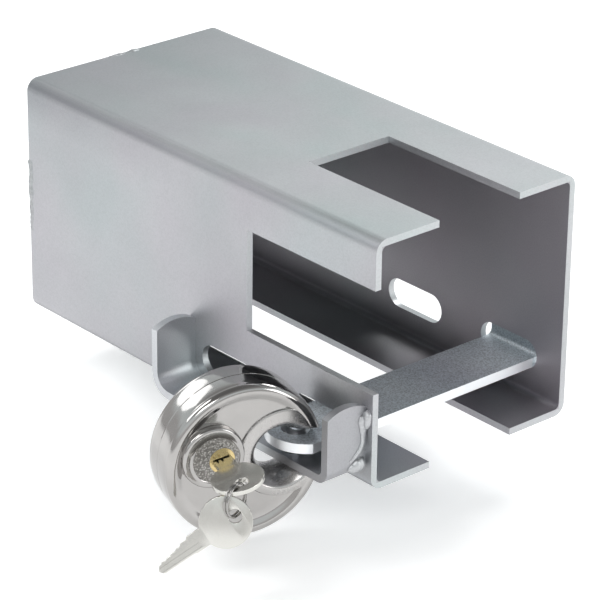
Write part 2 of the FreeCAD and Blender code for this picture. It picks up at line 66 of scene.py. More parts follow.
CAMERA_AT, LENS, SENSOR, CLIP = (1.04187, -0.81042, 0.49455), 187.89, 36.0, (0.05, 30.0)
AZIMUTH, ELEVATION, ROLL = math.radians(48.757), math.radians(24.918), math.radians(0.7085)
FLOOR_GAP, FLOOR_HALF, FLOOR_GLOW = 0.012, 6.0, 0.32
SKY_STRENGTH = 0.85
SKY = ((0.0, (0.72, 0.72, 0.72)), (0.2, (0.74, 0.74, 0.74)), (0.32, (0.98, 1.05, 1.065)),
       (0.52, (0.96, 1.03, 1.045)), (0.7, (0.48, 0.48, 0.48)), (0.9, (0.28, 0.28, 0.28)),
       (1.0, (0.24, 0.24, 0.24)))
FRONT_WAY, FRONT_GLOW = (0.72, -0.66, 0.20), ((0.55, (0, 0, 0)), (0.9, (0.14, 0.14, 0.14)))
LIGHT_DISTANCE = 1.35
LIGHTS = (
    ("key", (-0.30, -0.57, 0.77), (0.45, 0.80), 6.0),
    ("left", (-0.87, -0.02, 0.46), (0.62, 0.42), 1.5),
    ("back", (-0.08, 0.68, 0.73), (0.55, 0.45), 7.0),
    ("front", (0.54, -0.57, 0.63), (0.55, 0.35), 2.6),
    ("right", (0.90, 0.42, 0.25), (0.35, 0.6), 2.5),
)


def add_camera():
    """A long lens from above the near front corner, with a slight roll."""
    data = bpy.data.cameras.new("camera")
    data.lens, data.sensor_width = LENS, SENSOR
    data.clip_start, data.clip_end = CLIP
    cam = bpy.data.objects.new("camera", data)
    bpy.context.collection.objects.link(cam)
    look = Vector((-math.sin(AZIMUTH) * math.cos(ELEVATION), math.cos(AZIMUTH) * math.cos(ELEVATION),
                   -math.sin(ELEVATION)))
    right = look.cross(Vector((0, 0, 1))).normalized()
    up = right.cross(look)
    right, up = right * math.cos(ROLL) + up * math.sin(ROLL), up * math.cos(ROLL) - right * math.sin(ROLL)
    turn = Matrix((right, up, -look)).transposed().to_4x4()
    cam.matrix_world = Matrix.Translation(CAMERA_AT) @ turn
    bpy.context.scene.camera = cam


def add_floor(middle, z):
    """A pale matt floor at a height, with a little light of its own so that it stays white."""
    corners = ((-1, -1), (1, -1), (1, 1), (-1, 1))
    mesh = bpy.data.meshes.new("floor")
    mesh.from_pydata([(middle.x + x * FLOOR_HALF, middle.y + y * FLOOR_HALF, z) for x, y in corners],
                     [], [(0, 1, 2, 3)])
    floor = bpy.data.objects.new("floor", mesh)
    bpy.context.collection.objects.link(floor)
    build = Nodes("floor_paint")
    tone = build.ramp(build.noise(3.0, 2.0), [(0.3, (0.90, 0.90, 0.90)), (0.7, (0.94, 0.94, 0.94))])
    surface = build.shader(tone, 0.0, 0.8)
    surface.inputs["Emission Color"].default_value = (1, 1, 1, 1)
    surface.inputs["Emission Strength"].default_value = FLOOR_GLOW
    floor.data.materials.append(build.material)


def add_sky():
    """A soft studio sky: its brightness follows the height, with a faint glow toward the front."""
    world = bpy.data.worlds.new("studio")
    bpy.context.scene.world = world
    world.use_nodes = True
    sky = Nodes("sky", world)
    direction = sky.add("ShaderNodeTexCoord").outputs["Generated"]
    level = sky.ramp(sky.parts(direction)[2], SKY)
    glow = sky.ramp(sky.toward(direction, FRONT_WAY), FRONT_GLOW)
    background = sky.add("ShaderNodeBackground")
    sky.join(sky.mix(1.0, level, glow, "ADD"), background.inputs["Color"])
    background.inputs["Strength"].default_value = SKY_STRENGTH
    sky.tree.links.new(background.outputs[0], sky.add("ShaderNodeOutputWorld").inputs["Surface"])


def area_light(name, position, target, size, power):
    data = bpy.data.lights.new(name, "AREA")
    data.shape, data.size, data.size_y = "RECTANGLE", size[0], size[1]
    data.energy = power
    light = bpy.data.objects.new(name, data)
    bpy.context.collection.objects.link(light)
    light.location = position
    light.rotation_euler = (target - position).to_track_quat("-Z", "Y").to_euler()


def add_stage():
    low, high = cad_box
    middle = (low + high) / 2
    add_floor(middle, low.z - FLOOR_GAP)
    add_sky()
    for name, way, size, power in LIGHTS:
        area_light(name, middle + Vector(way) * LIGHT_DISTANCE, middle, size, power)
    bpy.context.scene.view_settings.view_transform = "Standard"
    bpy.context.scene.view_settings.look = "None"


# ---- materials ----

def set_stops(ramp, stops):
    """Gives a colour ramp these stops of (position, colour) in place of its own."""
    while len(ramp.elements) > 1:
        ramp.elements.remove(ramp.elements[-1])
    ramp.elements[0].position = stops[0][0]
    ramp.elements[0].color = (*stops[0][1], 1)
    for at, colour in stops[1:]:
        ramp.elements.new(at).color = (*colour, 1)


class Nodes:
    """A material under construction; each method adds a node and returns its output socket."""

    def __init__(self, name, owner=None):
        self.material = owner or bpy.data.materials.new(name)
        self.material.use_nodes = True
        self.tree = self.material.node_tree
        self.tree.nodes.clear()
        self.place = self.add("ShaderNodeTexCoord").outputs["Object"]

    def add(self, kind, **settings):
        node = self.tree.nodes.new(kind)
        for key, value in settings.items():
            setattr(node, key, value)
        return node

    def join(self, value, socket):
        if isinstance(value, bpy.types.NodeSocket):
            self.tree.links.new(value, socket)
        elif isinstance(value, tuple) and socket.type == "RGBA":
            socket.default_value = (*value, 1)
        else:
            socket.default_value = value

    def stretched(self, scale):
        node = self.add("ShaderNodeMapping")
        self.join(self.place, node.inputs["Vector"])
        node.inputs["Scale"].default_value = scale
        return node.outputs[0]

    def noise(self, scale, detail=2.0, place=None, rough=0.5):
        node = self.add("ShaderNodeTexNoise")
        self.join(place or self.place, node.inputs["Vector"])
        node.inputs["Scale"].default_value = scale
        node.inputs["Detail"].default_value = detail
        node.inputs["Roughness"].default_value = rough
        return node.outputs["Fac"]

    def cells(self, scale):
        node = self.add("ShaderNodeTexVoronoi", feature="F1")
        self.join(self.place, node.inputs["Vector"])
        node.inputs["Scale"].default_value = scale
        return node.outputs["Distance"]

    def ramp(self, value, stops):
        node = self.add("ShaderNodeValToRGB")
        self.join(value, node.inputs[0])
        set_stops(node.color_ramp, stops)
        return node.outputs[0]

    def levels(self, value, low, high, out_low, out_high):
        node = self.add("ShaderNodeMapRange")
        for socket, item in zip(node.inputs, (value, low, high, out_low, out_high)):
            self.join(item, socket)
        return node.outputs[0]

    def math(self, operation, a, b=0.0):
        node = self.add("ShaderNodeMath", operation=operation)
        self.join(a, node.inputs[0])
        self.join(b, node.inputs[1])
        return node.outputs[0]

    def mix(self, share, a, b, blend="MIX"):
        node = self.add("ShaderNodeMix", data_type="RGBA", blend_type=blend)
        self.join(share, node.inputs[0])
        self.join(a, node.inputs[6])
        self.join(b, node.inputs[7])
        return node.outputs[2]

    def facing(self):
        """The three parts of the surface's own normal."""
        return self.parts(self.tree.nodes["Texture Coordinate"].outputs["Normal"])

    def parts(self, vector):
        node = self.add("ShaderNodeSeparateXYZ")
        self.join(vector, node.inputs[0])
        return node.outputs

    def toward(self, direction, way):
        node = self.add("ShaderNodeVectorMath", operation="DOT_PRODUCT")
        self.join(direction, node.inputs[0])
        node.inputs[1].default_value = way
        return node.outputs["Value"]

    def bump(self, height, distance, strength=1.0, normal=None):
        node = self.add("ShaderNodeBump")
        node.inputs["Distance"].default_value = distance
        node.inputs["Strength"].default_value = strength
        self.join(height, node.inputs["Height"])
        if normal is not None:
            self.join(normal, node.inputs["Normal"])
        return node.outputs[0]

    def shader(self, colour, metallic, roughness, normal=None):
        node = self.add("ShaderNodeBsdfPrincipled")
        self.join(colour, node.inputs["Base Color"])
        self.join(metallic, node.inputs["Metallic"])
        self.join(roughness, node.inputs["Roughness"])
        if normal is not None:
            self.join(normal, node.inputs["Normal"])
        out = self.add("ShaderNodeOutputMaterial")
        self.tree.links.new(node.outputs[0], out.inputs[0])
        return node


MOUTH_FADE, DEEP_SHARE = (0.19, 0.06), 0.15
CORNER_SLANT, CORNER_REACH, ROOF_FADE = 0.45, 0.12, (0.02, 0.004)


def painted_inside_shade(build):
    """Up to 1 on the box's inner faces near the mouth; 0 outside and on the cut edges. The sheet material
    darkens these faces with it, as painted shade.
    """
    low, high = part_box("box_shell")
    depth = SHEET * 0.98
    x, y, z = build.parts(build.place)
    from_middle = build.math("ABSOLUTE", build.math("SUBTRACT", y, (low.y + high.y) / 2))
    within = build.math("LESS_THAN", from_middle, (high.y - low.y) / 2 - depth)
    under = build.math("LESS_THAN", z, high.z - depth)
    above = build.math("GREATER_THAN", z, low.z + depth)
    open_end = build.levels(x, high.x - MOUTH_FADE[0], high.x - MOUTH_FADE[1], DEEP_SHARE, 1.0)
    along = build.math("MULTIPLY", within, open_end)
    return build.math("MULTIPLY", along, build.math("MULTIPLY", under, above))


def painted_roof_shade(build):
    """Painted shade over the roof: a slow change of tone from 1 at its closed near corner to 0 past the
    middle, which darkens the roof toward that corner.
    """
    low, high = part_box("box_shell")
    x, y, z = build.parts(build.place)
    aside = build.math("MULTIPLY", build.math("SUBTRACT", y, low.y), CORNER_SLANT)
    across = build.levels(build.math("ADD", x, aside), low.x, low.x + CORNER_REACH, 1.0, 0.0)
    roof = build.levels(z, high.z - ROOF_FADE[0], high.z - ROOF_FADE[1], 0.0, 1.0)
    return build.math("MULTIPLY", across, roof)


def facing_shade(axis):
    """A mask of the faces that look along one axis of the object, either way; the materials use it to paint
    shade on those faces.
    """
    def mask(build):
        return build.levels(build.math("ABSOLUTE", build.facing()[axis]), 0.55, 0.9, 0.0, 1.0)
    return mask


def painted_fold_shade(build):
    """A mask of the long bends' outer and inner faces, which the sheet material darkens as painted shade."""
    _, across, up = build.facing()
    slant = build.math("ABSOLUTE", build.math("MULTIPLY", across, up))
    return build.levels(slant, 0.30, 0.49, 0.0, 1.0)


def toward_open_end(node):
    """A mask that rises along a node, from its end near the box's closed end to the other."""
    def mask(build):
        low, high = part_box(node)
        return build.levels(build.parts(build.place)[0], low.x, high.x, 0.0, 1.0)
    return mask


def sheared_edges(build):
    """The lock bar's cut edges: faces that stand upright, but not the folded leg."""
    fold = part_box("lock_bar")[1].y - BAR_FOLD
    edge = build.levels(build.math("ABSOLUTE", build.facing()[2]), 0.25, 0.6, 1.0, 0.0)
    return build.math("MULTIPLY", edge, build.math("LESS_THAN", build.parts(build.place)[1], fold))


def zinc(name, light, dark, rough, grain, grain_depth, speckle=0.35, masks=(), edge_highlight=None, metal=1.0):
    """Bright zinc plating: soft blotches with a faint warm and green cast, fine grain, and rubbed patches.
    Each mask is (a function that gives the share, the colour to multiply by). The colour given for the lock
    bar's cut edges is a painted highlight, laid on edges that are also made smoother."""
    build = Nodes(name)
    blotch = build.noise(26, 3.0)
    tint = build.noise(17, 2.0, build.stretched((1, 1.3, 0.8)))
    colour = build.ramp(blotch, [(0.25, dark), (0.75, light)])
    cast = build.ramp(tint, [(0.3, (0.93, 1.0, 0.98)), (0.5, (1, 1, 1)), (0.7, (1.0, 0.96, 0.985))])
    colour = build.mix(0.8, colour, cast, "MULTIPLY")
    speck = build.noise(grain, 3.0, rough=0.65)
    grains = build.ramp(speck, [(0.35, (1 - speckle / 2,) * 3), (0.6, (1, 1, 1))])
    colour = build.mix(1.0, colour, grains, "MULTIPLY")
    for mask, shade in masks:
        colour = build.mix(mask(build), colour, shade, "MULTIPLY")
    wear = build.noise(9, 4.0)
    roughness = build.levels(build.math("ADD", wear, build.math("MULTIPLY", speck, 0.3)), 0.4, 0.9,
                             rough - 0.07, rough + 0.09)
    # The lock bar's cut edges get a lighter colour, a painted highlight, and a lower roughness.
    if edge_highlight is not None:
        edge = sheared_edges(build)
        colour = build.mix(edge, colour, edge_highlight)
        roughness = build.math("SUBTRACT", roughness, build.math("MULTIPLY", edge, 0.10))
    normal = build.bump(speck, grain_depth, 0.6)
    normal = build.bump(build.noise(60, 2.0), 0.00004, 0.5, normal)
    build.shader(colour, metal, roughness, normal)
    return build.material


def dotted(name, light, dark):
    """Cast grey metal with small raised dots, worn pale on their tops."""
    build = Nodes(name)
    dots = build.ramp(build.cells(1150), [(0.18, (1, 1, 1)), (0.55, (0, 0, 0))])
    rough = build.noise(700, 3.0)
    worn = build.math("ADD", build.math("MULTIPLY", dots, 0.55), build.math("MULTIPLY", rough, 0.6))
    tone = build.ramp(worn, [(0.25, dark), (0.8, light)])
    normal = build.bump(build.math("ADD", dots, rough), 0.00016, 0.8)
    build.shader(tone, 0.9, build.levels(rough, 0.3, 0.7, 0.34, 0.46), normal)
    return build.material


def steel(name, light, dark, rough, scratch=0.00001, fine=900):
    """Polished or satin steel: faint clouding and short fine scratches in both directions."""
    build = Nodes(name)
    cloud = build.noise(70, 3.0)
    colour = build.ramp(cloud, [(0.3, dark), (0.7, light)])
    lines = build.noise(fine, 2.0, build.stretched((1, 1, 0.06)))
    across = build.noise(fine, 2.0, build.stretched((0.05, 1, 1)))
    marks = build.math("MULTIPLY", lines, across)
    roughness = build.levels(build.math("ADD", cloud, marks), 0.45, 1.05, rough * 0.8, rough * 1.2)
    build.shader(colour, 1.0, roughness, build.bump(marks, scratch, 0.5))
    return build.material


# ---- mesh tools ----

def finish_mesh(name, mesh, material, angle, matrix=None, baked=False):
    """A new piece, smooth but for edges sharper than angle. A baked piece's matrix goes into its mesh."""
    if baked:
        mesh.transform(matrix)
        matrix = None
    obj = bpy.data.objects.new(name, mesh)
    bpy.context.collection.objects.link(obj)
    if matrix is not None:
        obj.matrix_world = matrix
    mesh.materials.clear()
    mesh.materials.append(material)
    mesh.shade_smooth()
    mesh.set_sharp_from_angle(angle=math.radians(angle))
    return obj


def new_mesh(name, points, faces):
    """A mesh from points in millimetres, with its normals outward."""
    mesh = bpy.data.meshes.new(name)
    mesh.from_pydata([tuple(c * MM for c in p) for p in points], [], faces)
    work = bmesh.new()
    work.from_mesh(mesh)
    bmesh.ops.recalc_face_normals(work, faces=work.faces)
    work.to_mesh(mesh)
    work.free()
    return mesh


def grid_faces(rows, columns, close_rows, close_columns):
    """Quads over a grid of points, each way open or closed on itself."""
    faces = []
    for r in range(rows if close_rows else rows - 1):
        for c in range(columns if close_columns else columns - 1):
            a, b = r * columns + c, r * columns + (c + 1) % columns
            up = ((r + 1) % rows) * columns
            faces.append((a, b, up + (c + 1) % columns, up + c))
    return faces


def lathe(name, profile, centre=(0.0, 0.0), steps=180, front=1):
    """A solid turned about an axis along Y. The profile of (radius, height in front of the middle plane)
    starts and ends on the axis."""
    rings = profile[1:-1]
    points = []
    for r, d in rings:
        for i in range(steps):
            a = 2 * math.pi * i / steps
            points.append((centre[0] + r * math.cos(a), -front * d, centre[1] + r * math.sin(a)))
    faces = grid_faces(len(rings), steps, False, True)
    for ring, (_, d) in ((0, profile[0]), (len(rings) - 1, profile[-1])):
        start, tip = ring * steps, len(points)
        points.append((centre[0], -front * d, centre[1]))
        faces += [(start + i, start + (i + 1) % steps, tip) for i in range(steps)]
    return new_mesh(name, points, faces)


def arc(cx, cy, r, a0, a1, count):
    """Points along an arc between two angles in degrees."""
    angles = [math.radians(a0 + (a1 - a0) * i / count) for i in range(count + 1)]
    return [(cx + r * math.cos(a), cy + r * math.sin(a)) for a in angles]


def boolean(mesh, other, operation):
    """The mesh after a boolean with another mesh, both in the same coordinates."""
    a = bpy.data.objects.new("a", mesh)
    b = bpy.data.objects.new("b", other)
    for obj in (a, b):
        bpy.context.collection.objects.link(obj)
    mod = a.modifiers.new("cut", "BOOLEAN")
    mod.operation, mod.object, mod.solver = operation, b, "EXACT"
    bpy.context.view_layer.update()
    made = bpy.data.meshes.new_from_object(a.evaluated_get(bpy.context.evaluated_depsgraph_get()))
    for obj in (a, b):
        bpy.data.objects.remove(obj)
    return made


SOFT_EDGE_ANGLE = math.radians(35)


def soften(node, width):
    """Rounds a CAD node's sharp edges with a modifier."""
    mod = nodes[node].modifiers.new("soft_edges", "BEVEL")
    mod.width, mod.segments, mod.limit_method = width, 2, "ANGLE"
    mod.angle_limit = SOFT_EDGE_ANGLE
    mod.use_clamp_overlap = True
    mod.harden_normals = True


def paint(node, material):
    """Gives a CAD node its material."""
    mesh = nodes[node].data
    if mesh.materials:
        for i in range(len(mesh.materials)):
            mesh.materials[i] = material
    else:
        mesh.materials.append(material)


# ---- padlock ----

def padlock_matrix():
    """The padlock's own frame: its middle at the origin, its front toward -Y, the notch toward +X."""
    joint = joints["shackle_turn"]
    n = Vector(joint["axis"]).normalized()
    u = Vector((0, 0, 1)).cross(n)
    turn = Matrix((u, -n, Vector((0, 0, 1)))).transposed().to_4x4()
    return Matrix.Translation(Vector(joint["pos_m"])) @ turn


BODY_R, HALF_T = 34.0, 11.5
FLOOR_D, INNER_D = 10.0, 8.7
HOLE_X, HOLE_R, MOUTH_HALF = 16.0, 9.5, 8.0
NOTCH_REACH, NOTCH_GAP = 40.0, 0.7
FLARE, LIP_LIFT = 5.5, 0.28
FLARE_ARC = (HALF_T ** 2 + FLARE ** 2) / (2 * FLARE)
SHACKLE_PATH_R, SHACKLE_ROOM_R, SHACKLE_ROOM_ARC = 26.5, 4.3, (-40, 185)
NOTCH_WIDENING, NOTCH_STRAIGHT, NOTCH_TURNS, NOTCH_SMOOTHINGS = 0.36, 24, 84, 10


def flare_at(d):
    """How far the notch's wall stands back from its waist, at a height in front of the middle plane."""
    return FLARE_ARC - math.sqrt(FLARE_ARC ** 2 - min(d, HALF_T) ** 2)


def notch_line(offset):
    """The notch's keyhole outline in the padlock's plane, widened by offset: from the mouth, round, and back.
    Outside the flare the outline also moves up a little, as the lip is not concentric with the hole."""
    radius = HOLE_R + offset
    half = MOUTH_HALF + NOTCH_WIDENING * min(offset, FLARE) + max(offset - FLARE, 0)
    start = math.asin(min(half / radius, 0.99))
    end_x = HOLE_X + radius * math.cos(start)
    steps = range(NOTCH_STRAIGHT + 1)
    inward = [(NOTCH_REACH + (end_x - NOTCH_REACH) * i / NOTCH_STRAIGHT, half) for i in steps]
    line = inward[:-1]
    for i in range(NOTCH_TURNS + 1):
        a = start + (2 * math.pi - 2 * start) * i / NOTCH_TURNS
        line.append((HOLE_X + radius * math.cos(a), radius * math.sin(a)))
    outward = [(end_x + (NOTCH_REACH - end_x) * i / NOTCH_STRAIGHT, -half) for i in steps]
    line += outward[1:]
    for _ in range(NOTCH_SMOOTHINGS):
        line = [line[0]] + [((p[0] + 2 * q[0] + r[0]) / 4, (p[1] + 2 * q[1] + r[1]) / 4)
                            for p, q, r in zip(line, line[1:], line[2:])] + [line[-1]]
    lift = LIP_LIFT * max(offset - FLARE, 0)
    return [(x, z + lift) for x, z in line]


def notch_solid(name, profile, front):
    """A band swept along the notch's outline. The profile is a closed loop of (offset, height)."""
    points, count = [], 0
    for offset, d in profile:
        line = notch_line(offset)
        count = len(line)
        points += [(x, -front * d, z) for x, z in line]
    faces = grid_faces(len(profile), count, True, False)
    faces.append([r * count for r in range(len(profile))])
    faces.append([r * count + count - 1 for r in range(len(profile))][::-1])
    return new_mesh(name, points, faces)


def notch_cutter(front):
    """A solid a little wider than the notch, which cuts it out of a shell."""
    points, count = [], 0
    heights = [-2.0] + [HALF_T * i / 12 for i in range(13)] + [HALF_T + 4]
    for d in heights:
        line = notch_line(flare_at(max(d, 0)) + NOTCH_GAP)
        count = len(line)
        points += [(x, -front * d, z) for x, z in line]
    faces = grid_faces(len(heights), count, False, True)
    faces.append(list(range(count)))
    faces.append([(len(heights) - 1) * count + c for c in range(count)][::-1])
    return new_mesh("cutter", points, faces)


def tube(radius, wire, a0, a1, steps=90, sides=32):
    """Part of a ring about the padlock's centre, with closed ends."""
    points = []
    for i in range(steps + 1):
        a = math.radians(a0 + (a1 - a0) * i / steps)
        for k in range(sides):
            b = 2 * math.pi * k / sides
            r = radius + wire * math.cos(b)
            points.append((r * math.cos(a), wire * math.sin(b), r * math.sin(a)))
    faces = grid_faces(steps + 1, sides, False, True)
    faces.append(list(range(sides)))
    faces.append([steps * sides + k for k in range(sides)][::-1])
    return new_mesh("tube", points, faces)


WALL = [(33.72, 0.02), (33.98, 0.3), (BODY_R, 1.2), (BODY_R, 3.4), (33.98, 5.2), (33.92, 6.6), (33.8, 7.7),
        (33.7, 8.3)]
SHOULDER = arc(30.7, 8.45, 3.02, 4, 90, 16)
STEP = [(30.3, 11.43), (29.8, 11.28), (29.2, 11.02), (28.6, 10.72), (28.1, 10.45), (27.7, 10.24),
        (27.3, 10.08), (26.9, FLOOR_D)]
INSIDE = [(0.0, INNER_D), (16.0, INNER_D), (28.0, INNER_D), (30.6, 8.9), (32.2, 7.2), (32.6, 4.5),
          (32.5, 0.02)]
FLOOR = [(24.0, FLOOR_D), (16.0, FLOOR_D), (6.0, FLOOR_D), (0.0, FLOOR_D)]
BOSS, BOSS_BORE_R, FACE_SHIFT = (-14.5, 5.5), 12.6, (0.8, -0.9)


def shell_mesh(front):
    """A pressed shell with the notch cut out; front is 1, or -1 for the back shell, which has no bore."""
    shell = lathe("shell", INSIDE + WALL + SHOULDER + STEP + FLOOR, steps=360, front=front)
    if front > 0:
        bore = lathe("bore", [(0.0, 5.0), (BOSS_BORE_R, 5.0), (BOSS_BORE_R, 20.0), (0.0, 20.0)], BOSS, 96)
        shell = boolean(shell, bore, "DIFFERENCE")
    return boolean(shell, notch_cutter(front), "DIFFERENCE")


def lip_mesh(front):
    """The notch's flared wall and the lip pressed round it, cut off at the shell's outside, with room
    for the shackle."""
    wall = [(flare_at(11.0 * i / 16), 11.0 * i / 16) for i in range(17)]
    top = [(5.3, 11.12), (5.6, 11.24), (6.1, 11.28), (7.4, 11.2), (9.0, 11.04), (9.5, 10.95), (9.75, 10.75),
           (9.85, 10.4), (9.95, 10.12), (10.3, 9.9), (10.3, 9.0)]
    behind = [(7.2, 9.4), (5.2, 8.4), (3.4, 6.4), (2.2, 3.6), (1.5, 0.02)]
    band = notch_solid("lip", [(wall[0][0], 0.02)] + wall[1:] + top + behind, front)
    outside = [(0.0, -1), (BODY_R, -1)] + WALL[1:] + SHOULDER + [(29.0, 11.6), (0.0, 11.6)]
    band = boolean(band, lathe("outside", outside, front=front), "INTERSECT")
    return boolean(band, tube(SHACKLE_PATH_R, SHACKLE_ROOM_R, *SHACKLE_ROOM_ARC), "DIFFERENCE")


def boss_mesh():
    """The round collar; its inner edge is not concentric with its outside."""
    profile = [(13.75, 9.6, 0), (13.45, 9.95, 0), (13.33, 10.5, 0), (13.3, 11.6, 0), (13.22, 12.3, 0),
               (12.98, 12.82, 0.02), (12.55, 13.1, 0.1), (12.0, 13.19, 0.25), (11.3, 13.2, 0.45),
               (10.7, 13.12, 0.65), (10.2, 13.0, 0.85), (9.8, 12.86, 1), (9.7, 12.74, 1),
               (12.06, 12.74, 0), (12.06, 9.0, 0), (13.75, 9.0, 0)]
    steps, points = 120, []
    for r, d, share in profile:
        for i in range(steps):
            a = 2 * math.pi * i / steps
            points.append((BOSS[0] + FACE_SHIFT[0] * share + r * math.cos(a), -d,
                           BOSS[1] + FACE_SHIFT[1] * share + r * math.sin(a)))
    return new_mesh("boss", points, grid_faces(len(profile), steps, True, True))


def make_padlock(materials):
    """The two shells, each with its lip, and the collar round the cylinder's face."""
    matrix = padlock_matrix()
    front = finish_mesh("padlock_front", shell_mesh(1), materials["stainless"], 30, matrix)
    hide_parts("padlock_front_shell")
    back = finish_mesh("padlock_back", shell_mesh(-1), materials["stainless"], 30, matrix)
    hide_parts("padlock_back_shell")
    pieces = [front, back]
    pieces.append(finish_mesh("padlock_front_lip", lip_mesh(1), materials["stainless_lip"], 30, matrix))
    pieces.append(finish_mesh("padlock_back_lip", lip_mesh(-1), materials["stainless_lip"], 30, matrix))
    pieces.append(finish_mesh("padlock_boss", boss_mesh(), materials["stainless"], 40, matrix))
    for piece in pieces:
        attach(piece, "padlock")


# ---- welds ----

RIPPLE, RIPPLES_PER_MM, LUMPS, LUMP_PITCH, LUMP_ROUND = 0.06, 1.3, 0.24, 0.22, 0.4
BEAD_TIP = 0.0004


def weld_bead(name, runs, material, seed):
    """Lumpy beads along short paths. Each run is (points in mm, a radius at each, how wide it is along X)."""
    random.seed(seed)
    points, faces = [], []
    sides, steps = 24, 64
    for line, radii, width in runs:
        base = len(points)
        legs = [Vector(p) for p in line]
        lengths = [(b - a).length for a, b in zip(legs, legs[1:])]
        total = sum(lengths)
        phase = random.uniform(0, 6)
        for i in range(steps + 1):
            travel = total * i / steps
            k, left = 0, travel
            while k < len(lengths) - 1 and left > lengths[k]:
                left -= lengths[k]
                k += 1
            share = min(left / lengths[k], 1.0)
            centre = legs[k].lerp(legs[k + 1], share)
            radius = radii[k] * (1 - share) + radii[k + 1] * share
            along = (legs[k + 1] - legs[k]).normalized()
            side = along.cross(Vector((1, 0, 0))).normalized()
            other = along.cross(side)
            from_end = min(travel, total - travel)
            cap = math.sqrt(max(1 - (1 - min(from_end / radius, 1.0)) ** 2, BEAD_TIP))
            ripple = 1 + RIPPLE * abs(math.sin(travel * RIPPLES_PER_MM + phase))
            for s in range(sides):
                a = 2 * math.pi * s / sides
                out = side * math.cos(a) + other * math.sin(a)
                where = centre * LUMP_PITCH + out * LUMP_ROUND + Vector((seed, phase, 0))
                lump = 1 + LUMPS * noise.noise(where)
                reach = out * radius * cap * ripple * lump
                reach.x *= width
                points.append(centre + reach)
        faces += [tuple(base + v for v in face) for face in grid_faces(steps + 1, sides, False, True)]
        faces.append([base + s for s in range(sides)])
        faces.append([base + steps * sides + s for s in range(sides)][::-1])
    return finish_mesh(name, new_mesh(name, points, faces), material, 60)


BEAD_RADII, BEAD_HALF, SHORT_BEAD_HALF = (2.0, 2.3, 2.1), 18, 6
BEAD_FROM_BACK, BEAD_FROM_SIDE, BEAD_FROM_TOP = 0.9, 1.8, 2.1
FLANGE_BEAD_IN, FLANGE_BEAD_UP = 19, 2.5
GUARD_ABOVE_BASE = 7.75
# The guard's beads, as points of (place along Y from the wall, height above the box's base, radius).
GUARD_LUMP = ((-9.4, 11.2, 0.8), (-7.4, 11.6, 2.1), (-4.8, 12.3, 3.1), (-2.2, 12.4, 3.3), (-0.6, 12.0, 2.6))
GUARD_RIBBON = ((-9.0, 14.4, 0.5), (-6.3, 16.0, 0.9), (-3.6, 18.3, 1.15), (-1.9, 21.2, 1.2),
                (-1.5, 25.0, 1.4), (-1.8, 28.5, 1.9), (-2.2, 31.6, 2.1), (-2.6, 34.2, 1.4))
GUARD_TOE = ((-1.2, 27.4, 0.8), (-0.7, 30.0, 1.9), (-0.5, 33.2, 2.0), (-0.4, 36.0, 1.5))
# Each with how far it stands out from the arm and how wide it is along X for its height.
GUARD_BEADS = ((GUARD_LUMP, -0.3, 0.7), (GUARD_RIBBON, 0.0, 0.6), (GUARD_TOE, 0.6, 1.4))


def end_plate_runs():
    """Long beads on the end plate's two sides and top, and a short one on each bottom flange."""
    low, high = (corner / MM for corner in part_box("box_shell"))
    middle = (low + high) / 2
    back, top, bottom = low.x + BEAD_FROM_BACK, high.z - BEAD_FROM_TOP, low.z + FLANGE_BEAD_UP
    runs = []
    for y in (low.y + BEAD_FROM_SIDE, high.y - BEAD_FROM_SIDE):
        runs.append(([(back, y, middle.z + step) for step in (-BEAD_HALF, 0, BEAD_HALF)], BEAD_RADII, 1))
    runs.append(([(back, middle.y + step, top) for step in (-BEAD_HALF, 0, BEAD_HALF)], BEAD_RADII, 1))
    for y in (low.y + FLANGE_BEAD_IN, high.y - FLANGE_BEAD_IN):
        line = [(back, y + step, bottom) for step in (-SHORT_BEAD_HALF, 0, SHORT_BEAD_HALF)]
        runs.append((line, BEAD_RADII, 1))
    return runs


def guard_runs():
    """A lump, a ribbon and a toe on the outside of each of the guard's two arms."""
    low, high = (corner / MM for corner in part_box("guard_bracket"))
    base = low.z - GUARD_ABOVE_BASE
    runs = []
    for x, out in ((high.x, 1), (low.x, -1)):
        for path, stand, width in GUARD_BEADS:
            line = [(x + out * stand, high.y + y, base + z) for y, z, _ in path]
            runs.append((line, [radius for _, _, radius in path], width))
    return runs


def make_welds(materials):
    """The end plate's beads and the guard's, each set one piece."""
    plate = weld_bead("end_plate_beads", end_plate_runs(), materials["bead"], 3)
    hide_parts("end_plate_welds")
    guard = weld_bead("guard_beads", guard_runs(), materials["weld"], 11)
    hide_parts("guard_welds")
    for piece in (plate, guard):
        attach(piece, "box")


# ---- keys and ring ----

BOW_R, NECK, BLADE_LEN = 10.7, 6.0, 16.4
HOLE_OFF, BOW_HOLE_R = 4.4, 2.8
BOW_HOLE_FROM_SHOULDER = NECK + BOW_R + HOLE_OFF
HALF_NECK, BLADE_TOP, BLADE_BACK = 4.0, 3.0, -3.6
CUTS, FIRST_CUT, CUT_PITCH = (2.2, 1.7, 1.2, 0.7, 0.2), 3.62, 2.55
KEY_T, KEY_EDGE = 2.0, 0.22
GROOVE_W, GROOVE_D, GROOVE_START, GROOVES_X, GROOVE_OFF = 0.95, 0.8, -3.4, (-2.75, -0.75), 0.5
KEYWAY_ANGLE = 11
SPARE_FACING, SPARE_BLADE, SPARE_DROP = (0.72, -0.63, 0.28), (-0.36, -0.78, -0.53), 0.3
RING_R, RING_WIRE, RING_TURNS, RING_GAP, WIRE_FLAT = 6.8, 0.52, 2.0, 0.3, 0.92
CROSS_START, CROSS_LENGTH = 0.38, 0.24


